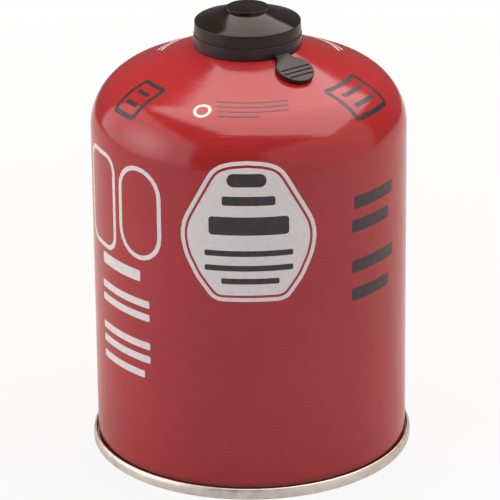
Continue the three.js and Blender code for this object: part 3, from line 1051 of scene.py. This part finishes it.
def buildPullTab():
    t = tabShape
    outline, rootX = tabOutline()
    tab = startEmpty("pullTab")
    walkOutline([(x * mm, y * mm, 0) for x, y in outline])
    bpy.ops.mesh.select_all(action="SELECT")
    bpy.ops.mesh.edge_face_add()
    bpy.ops.mesh.extrude_region_move(TRANSFORM_OT_translate={"value": (0, 0, t["thickness"] * mm)})
    bpy.ops.mesh.select_all(action="SELECT")
    bpy.ops.mesh.normals_make_consistent(inside=False)
    bpy.ops.object.mode_set(mode="OBJECT")
    bpy.ops.object.modifier_add(type="BEVEL")
    soften = tab.modifiers[-1]
    soften.width = t["bevel"] * mm
    soften.segments = 4
    soften.limit_method = "ANGLE"
    soften.angle_limit = math.radians(60)
    bpy.ops.object.modifier_apply(modifier=soften.name)
    for x in t["grooves"]:
        cutGroove(tab, x)
    rootZ = domeHeight(t["strapRoot"]) + t["gap"]
    tilt = math.radians(t["slope"])
    tab.matrix_world = (
        Matrix.Rotation(math.radians(t["azimuth"]), 4, "Z")
        @ Matrix.Translation((t["distance"] * mm, 0, (rootZ + rootX * math.sin(tilt)) * mm))
        @ Matrix.Rotation(tilt, 4, "Y")
    )
    bpy.context.view_layer.update()
    bpy.ops.object.transform_apply(location=True, rotation=True, scale=True)
    bpy.ops.object.shade_smooth_by_angle(angle=math.radians(30))
    return tab


def buildCap():
    b = blackMoulding
    glossy = makeBlackMoulding("blackMoulding", b["coneShine"], b["sideColour"], rimTop * mm - 0.1 * mm)
    matt = makeBlackMoulding("tabMoulding", b["tabShine"], b["tabColour"], 1)  # 1 m is above all of it
    shell, tab, lugs = buildCapShell(), buildPullTab(), buildLugs()
    for part in [shell] + lugs:
        part.data.materials.append(glossy)
    tab.data.materials.append(matt)
    cap = joinPieces("pushOnCap", [shell, tab] + lugs)
    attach(cap, "cap")
    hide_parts("cap")


# prints: flat shapes drawn as (way round the wall, way up the can's side) and then laid on the can
printShape = {
    "thickness": 0.022,
    "under": 0.015,  # how far a print reaches into the lacquer
    "overPale": 0.02,  # the dark bars lie on the pale field
    "cut": 1.25,  # spacing of the cuts that let it bend
}
badge = {
    "corners": [
        (-12.0, 119.2, 9), (-5.7, 120.6, 0), (-0.7, 121, 0), (4.3, 120.6, 0), (10.6, 119.2, 9),
        (23.5, 96.2, 16), (21.3, 86.9, 14), (18.05, 79.8, 20), (12.2, 71.7, 6),
        (-12.2, 71.7, 6), (-18.35, 79.8, 20), (-21.9, 86.9, 14), (-24.5, 96.2, 16),
    ],
    "border": 1.35,
    "gap": 0.9,
    "bars": [  # middle, width, height, rounding
        (-0.9, 114.4, 13.0, 4.6, 2.2),
        (-0.3, 107.2, 17.6, 3.2, 0.8),
        (-0.3, 98.4, 26.6, 6.4, 1.2),
        (-0.4, 88.7, 29.4, 2.0, 0.5),
        (-0.4, 83.5, 29.4, 2.0, 0.5),
        (0, 78.9, 19.2, 2.0, 0.5),
    ],
}
leftPrint = {
    "frames": [(-63.0, 96.3, 20.6, 34.6, 6.0), (-40.6, 97.6, 19.6, 33.0, 9.7)],  # plain outlines
    "line": 1.6,
    "bars": [
        (-51.4, 75.2, 22.3, 4.0, 0.8),
        (-49.8, 65.6, 26.8, 2.6, 0.6),
        (-49.8, 60.8, 26.8, 2.6, 0.6),
        (-49.8, 50.5, 26.8, 2.6, 0.6),
        (-49.8, 45.6, 26.8, 2.6, 0.6),
        (-51.0, 39.8, 24.0, 2.6, 0.6),
    ],
}
rightPrint = {
    "bars": [
        (48.0, 101.2, 21.3, 4.4, 0.8),
        (46.1, 93.0, 19.3, 4.4, 0.8),
        (47.7, 78.6, 22.4, 4.4, 0.8),
        (46.2, 68.6, 19.5, 4.4, 0.8),
    ],
}
domeDark = [  # each group round its own middle: azimuth, and way up the can's side
    {
        "azimuth": -58.5,
        "middle": 136.0,
        "frames": [(0, 0, 13.0, 16.0, 2.0)],
        "line": 1.7,
        "bars": [(0, 2.6, 6.4, 1.7, 0.5), (0, -2.6, 6.4, 1.7, 0.5)],
    },
    {
        "azimuth": 58.5,
        "middle": 136.0,
        "frames": [(0, 0, 20.0, 16.0, 2.0)],
        "line": 1.7,
        "bars": [(0, 2.6, 12.0, 1.7, 0.5), (0, -2.6, 12.0, 1.7, 0.5)],
    },
    {
        "azimuth": 2.0,
        "middle": 139.8,
        "bars": [
            (0, 3.4, 24.0, 0.55, 0.2),
            (0, 1.15, 24.0, 0.55, 0.2),
            (0, -1.1, 24.0, 0.55, 0.2),
            (-5.0, -3.3, 14.0, 0.55, 0.2),
        ],
    },
]
twoStrokes = [(0, 1.3, 16.0, 1.0, 0.3), (0, -1.0, 12.0, 1.0, 0.3)]
domeWhite = [
    {"azimuth": -21.6, "middle": 138.2, "frames": [(0, 0, 6.1, 6.1, 3.0)], "line": 1.0},
    {"azimuth": -123, "middle": 148.0, "bars": twoStrokes},
    {"azimuth": 121, "middle": 146.5, "bars": twoStrokes},
]


def onCan(way):  # radius, height and outward direction at a length up the can's side
    c = canShape
    bendEnd = c["shoulder"] + c["knuckle"] * math.radians(90 - c["slope"])
    if way <= c["shoulder"]:
        return c["wallRadius"], way, 1, 0
    if way <= bendEnd:
        a = (way - c["shoulder"]) / c["knuckle"]
        out, up = math.cos(a), math.sin(a)
        return kneeCentre + c["knuckle"] * out, c["shoulder"] + c["knuckle"] * up, out, up
    past = way - bendEnd
    inward, rise = math.cos(slope), math.sin(slope)
    return coneStart[0] - past * inward, coneStart[1] + past * rise, rise, inward


def drawFlat(corners, rounding, line=0):  # in edit mode: a flat face, rounded, or only its outline
    walkOutline([(x * mm, y * mm, 0) for x, y in corners])
    bpy.ops.mesh.select_linked()
    bpy.ops.mesh.edge_face_add()
    if rounding:
        bpy.ops.mesh.bevel(offset=rounding * mm, segments=6, affect="VERTICES")
        bpy.ops.mesh.select_linked()
    if line:
        bpy.ops.mesh.inset(thickness=line * mm)
        bpy.ops.mesh.delete(type="FACE")


def drawBox(x, y, width, height, rounding, line=0):
    left, right, low, high = x - width / 2, x + width / 2, y - height / 2, y + height / 2
    corners = [(left, low), (right, low), (right, high), (left, high)]
    drawFlat(corners, min(rounding, width / 2.02, height / 2.02), line)


def drawMarks(group):
    for box in group.get("frames", []):
        drawBox(*box, group["line"])
    for bar in group.get("bars", []):
        drawBox(*bar)


def shrinkCorners(corners, by):  # the outline moved inwards
    inside = []
    for i, corner in enumerate(corners):
        p, before, after = Vector(corner), Vector(corners[i - 1]), Vector(corners[(i + 1) % len(corners)])
        one, two = (p - before).normalized(), (after - p).normalized()
        across = Vector((one.y, -one.x)) + Vector((two.y, -two.x))
        across *= by / across.dot(Vector((one.y, -one.x)))
        inside.append(tuple(p + across))
    return inside


def cutAcross(position, direction):  # in edit mode: one cut through all of the flat print
    bpy.ops.mesh.select_all(action="SELECT")
    bpy.ops.mesh.bisect(plane_co=[axis * position * mm for axis in direction], plane_no=direction)


def layOnCan(piece, lift=0.0, azimuth=None, middle=0.0):
    step = printShape["cut"]
    piece.update_from_editmode()
    xs = [v.co.x / mm for v in piece.data.vertices]
    ys = [v.co.y / mm for v in piece.data.vertices]
    x = math.ceil(min(xs) / step) * step
    while x < max(xs):
        cutAcross(x, (1, 0, 0))
        x += step
    y = max(canShape["shoulder"] - middle, math.ceil(min(ys) / step) * step)
    while y < max(ys):
        cutAcross(y, (0, 1, 0))
        y += step
    height = printShape["under"] + printShape["thickness"]
    bpy.ops.mesh.select_all(action="SELECT")
    bpy.ops.mesh.extrude_region_move(TRANSFORM_OT_translate={"value": (0, 0, height * mm)})
    bpy.ops.object.mode_set(mode="OBJECT")
    for vertex in piece.data.vertices:
        r, z, outR, outZ = onCan(vertex.co.y / mm + middle)
        out = vertex.co.z / mm - printShape["under"] + lift
        if azimuth is None:  # measured round the wall
            turn = vertex.co.x / mm / canShape["wallRadius"]
        else:
            turn = math.radians(azimuth) + vertex.co.x / mm / r
        r += out * outR
        vertex.co = (r * math.sin(turn) * mm, -r * math.cos(turn) * mm, (z + out * outZ) * mm)
    bpy.ops.object.mode_set(mode="EDIT")
    finishMesh(35)
    return piece


def finishPrint(piece, ink):
    piece.data.materials.append(ink)
    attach(piece, "can")


def buildPrints():
    white = makeInk("whiteInk", whiteInk)
    dark = makeInk("darkInk", darkInk)

    piece = startEmpty("badgeWhite")
    rim = roundOutline(badge["corners"])[:-1]
    drawFlat(rim[::-1], 0, badge["border"])
    drawFlat(shrinkCorners(rim, badge["border"] + badge["gap"])[::-1], 0)
    finishPrint(layOnCan(piece), white)

    piece = startEmpty("badgeDark")
    for bar in badge["bars"]:
        drawBox(*bar)
    finishPrint(layOnCan(piece, printShape["overPale"]), dark)

    for name, group, ink, slotName in (
        ("sideWhite", leftPrint, white, "white_print"),
        ("sideDark", rightPrint, dark, "black_print"),
    ):
        piece = startEmpty(name)
        drawMarks(group)
        finishPrint(layOnCan(piece), ink)

    for name, groups, ink, slotName in (
        ("domeDark", domeDark, dark, "black_print"),
        ("domeWhite", domeWhite, white, "white_print"),
    ):
        marks = []
        for group in groups:
            piece = startEmpty(name)
            drawMarks(group)
            marks.append(layOnCan(piece, 0, group["azimuth"], group["middle"]))
        finishPrint(joinPieces(name, marks), ink)


def dressNode(node, finish):
    piece = frame["nodes"][node]
    piece.data.materials.clear()
    piece.data.materials.append(finish)


addCamera()
for lightName in lights:
    addSoftLight(lightName, lights[lightName])
buildRoom()
buildFloor()
print("camera, light and floor are in place")

tinFinish = makeTinplate()
rubberFinish = makeRubber()
paleFinish = makePaleMoulding()
buildCan()
buildBottom()
print("can and base done")
buildValveCup()
buildSealAndStem()
dressNode("cup_gasket", rubberFinish)
dressNode("valve_housing", paleFinish)
buildValveSpring()
print("valve done")
buildCap()
print("cap done")
buildPrints()
print("prints done")
